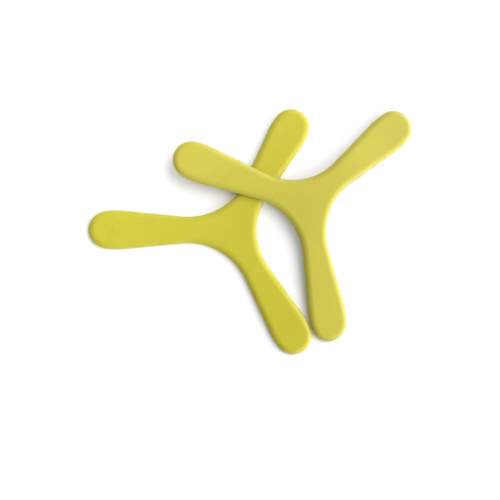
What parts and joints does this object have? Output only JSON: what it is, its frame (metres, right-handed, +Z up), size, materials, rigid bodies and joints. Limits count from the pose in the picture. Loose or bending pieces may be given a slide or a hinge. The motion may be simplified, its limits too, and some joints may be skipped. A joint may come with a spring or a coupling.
{
  "type": "three-bladed boomerang pair",
  "caption": "Flat three-bladed throwing boomerangs with rounded rims and round blade ends, one resting across a blade of the other.",
  "frame": {"origin": "centre of the pair's footprint, on the surface it rests on", "axes": "+Z up, square to the flat underside of the lower boomerang; +X away from the lower boomerang's free blade, which points along -X; +Y in the plane of the surface"},
  "size_m": [0.3608, 0.274, 0.017],
  "materials": {
    "lower_yellow": "matte, finely mottled",
    "upper_yellow": "matte, finely mottled, a little paler"
  },
  "bodies": {
    "lower": {"lower_boomerang": "lower_yellow"},
    "upper": {"upper_boomerang": "upper_yellow"}
  },
  "joints": [
    {"name": "upper_lift", "type": "slide", "parent": "lower", "child": "upper", "axis": [0, 0, 1], "range_m": [0, 0.12]}
  ]
}
